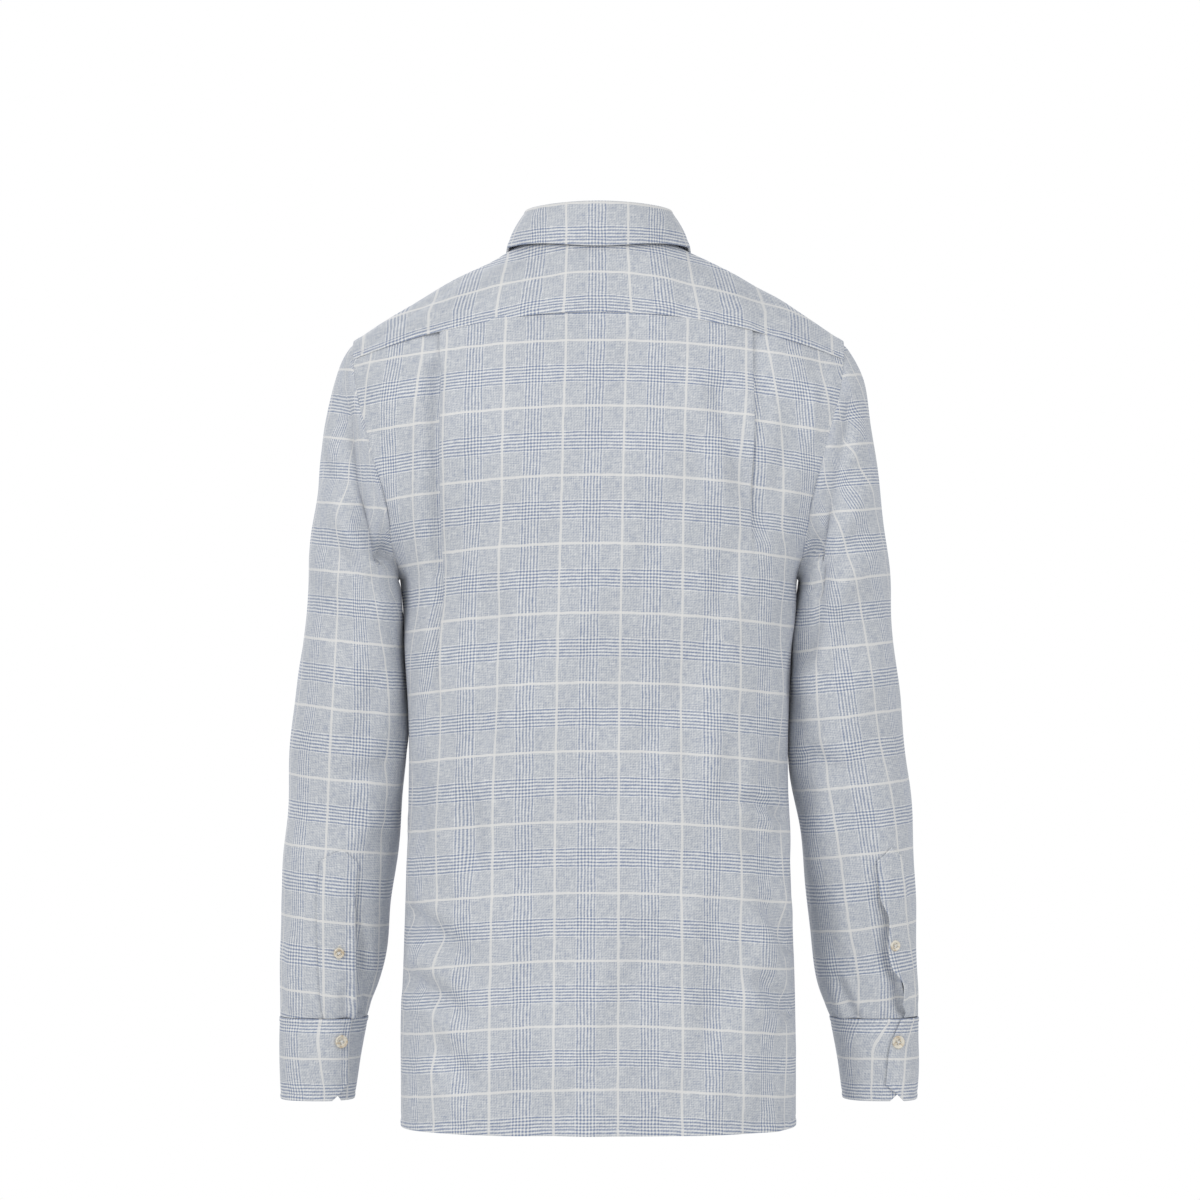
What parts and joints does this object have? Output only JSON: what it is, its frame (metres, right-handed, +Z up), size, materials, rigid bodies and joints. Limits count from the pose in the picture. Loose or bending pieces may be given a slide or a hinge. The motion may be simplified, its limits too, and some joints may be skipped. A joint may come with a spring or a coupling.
{
  "type": "flannel shirt",
  "caption": "Long-sleeved flannel shirt in a pale grey-blue check, worn shape on nobody, with a yoke, side back pleats, turned-down collar and buttoned cuffs.",
  "frame": {"origin": "in the neck opening, level with where the collar meets the shoulders, midway between them", "axes": "+Z up, +X towards the wearer's left, so the wearer faces -Y and the back is at +Y"},
  "size_m": [0.5592, 0.2459, 0.7989],
  "materials": {
    "flannel": "brushed cotton flannel, glen check in grey, pale blue and cream",
    "button": "cream shell-like buttons with a brownish rim"
  },
  "bodies": {
    "root": {"back": "flannel", "yoke": "flannel", "front_left": "flannel", "front_right": "flannel", "front_placket": "flannel", "collar_stand": "flannel", "collar": "flannel", "sleeve_left": "flannel", "sleeve_right": "flannel", "gauntlet_left": "flannel", "gauntlet_right": "flannel", "cuff_left": "flannel", "cuff_right": "flannel", "button_collar": "button", "button_front_1": "button", "button_front_2": "button", "button_front_3": "button", "button_front_4": "button", "button_front_5": "button", "button_front_6": "button", "button_gauntlet_left": "button", "button_gauntlet_right": "button", "button_cuff_left": "button", "button_cuff_right": "button"}
  },
  "joints": []
}
